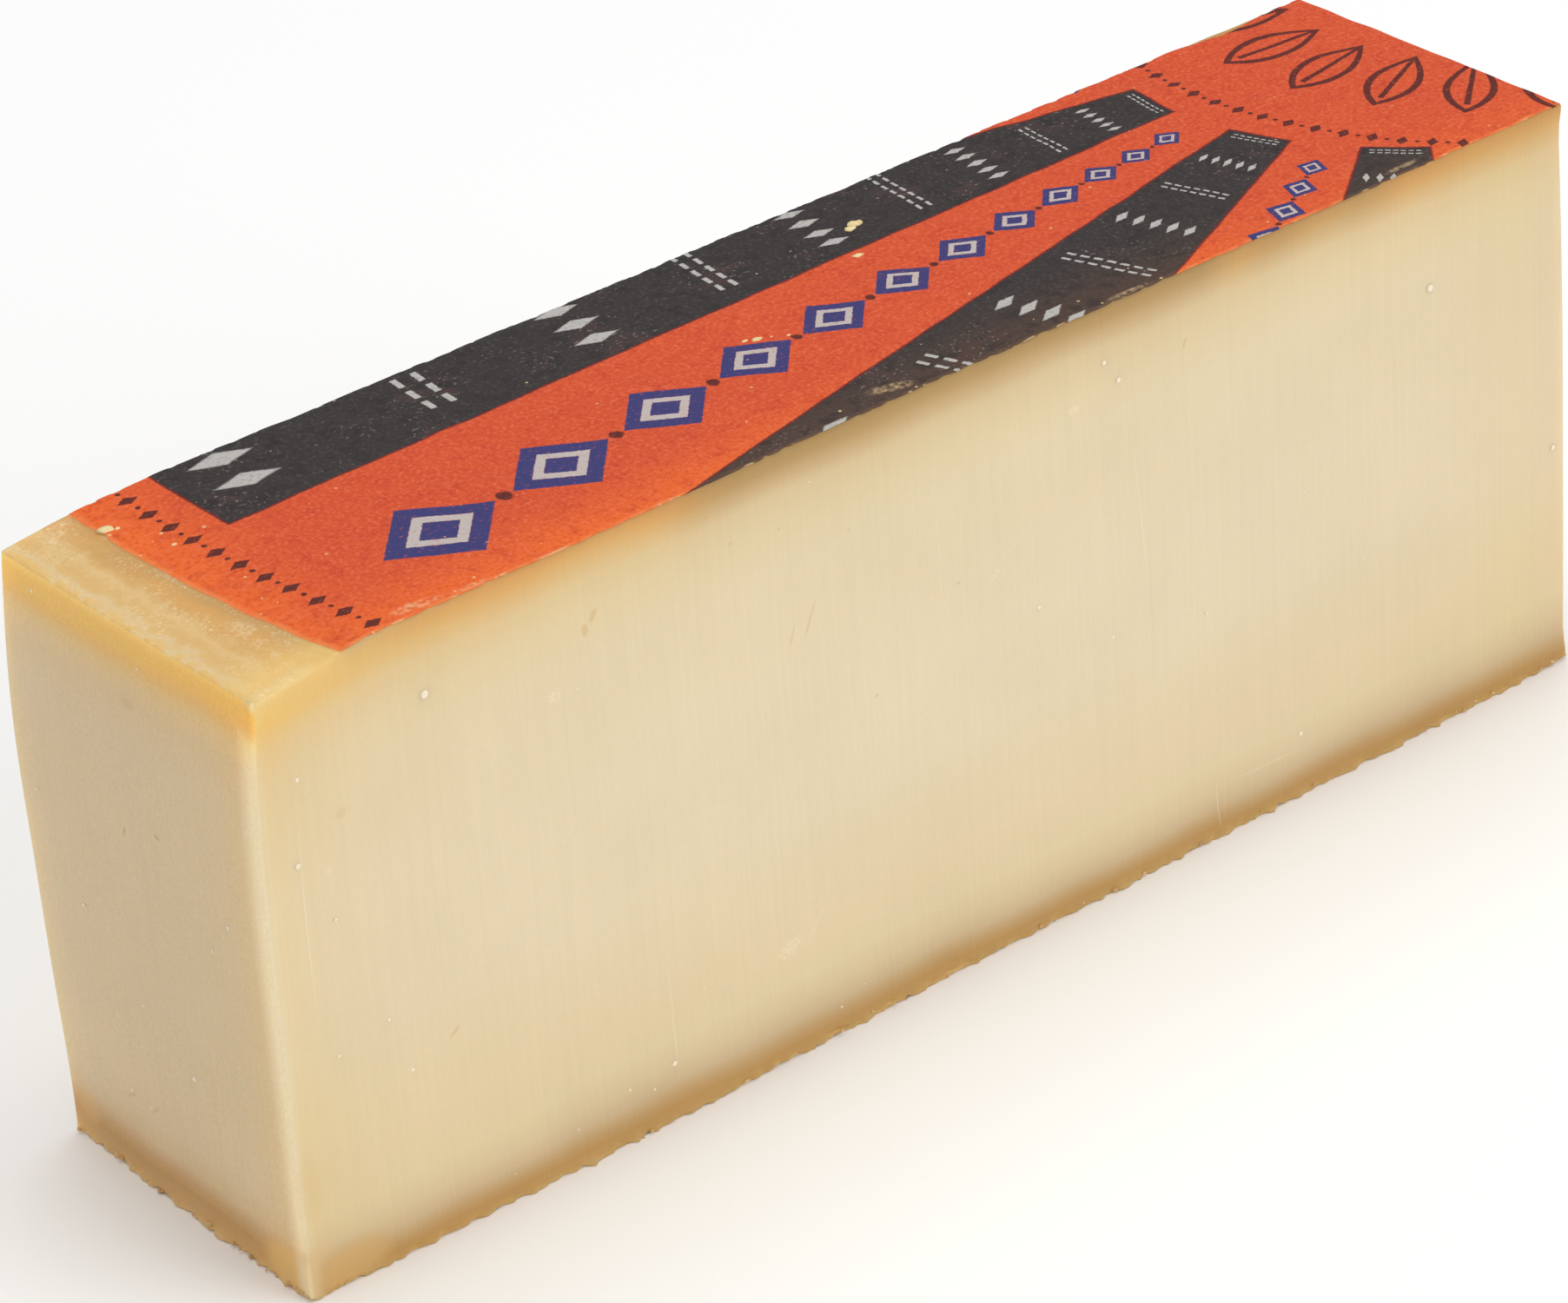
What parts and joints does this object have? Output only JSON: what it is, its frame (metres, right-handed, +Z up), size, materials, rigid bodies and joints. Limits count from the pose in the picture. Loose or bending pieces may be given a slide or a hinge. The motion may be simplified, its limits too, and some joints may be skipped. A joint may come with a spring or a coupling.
{
  "type": "slab of hard alpine cheese",
  "caption": "Long straight-cut slab of hard cheese from a large wheel, with flat natural rind on its top and foot and a thin printed paper label on top.",
  "frame": {"origin": "middle of the resting face, on the surface that the slab stands on", "axes": "+X along the slab, from its heel at the side of the wheel to its toe near the wheel's centre; +Y across it, from the front cut to the back cut; +Z up, from the lower rind to the upper"},
  "size_m": [0.2678, 0.0654, 0.1057],
  "materials": {
    "cheese": "pale yellow paste with a soft waxy sheen, browner and drier towards the rind",
    "label_paper": "thin printed paper, orange with dark rays, matt and slightly worn"
  },
  "bodies": {
    "root": {"cheese_slab": "cheese", "paper_label": "label_paper"}
  },
  "joints": []
}
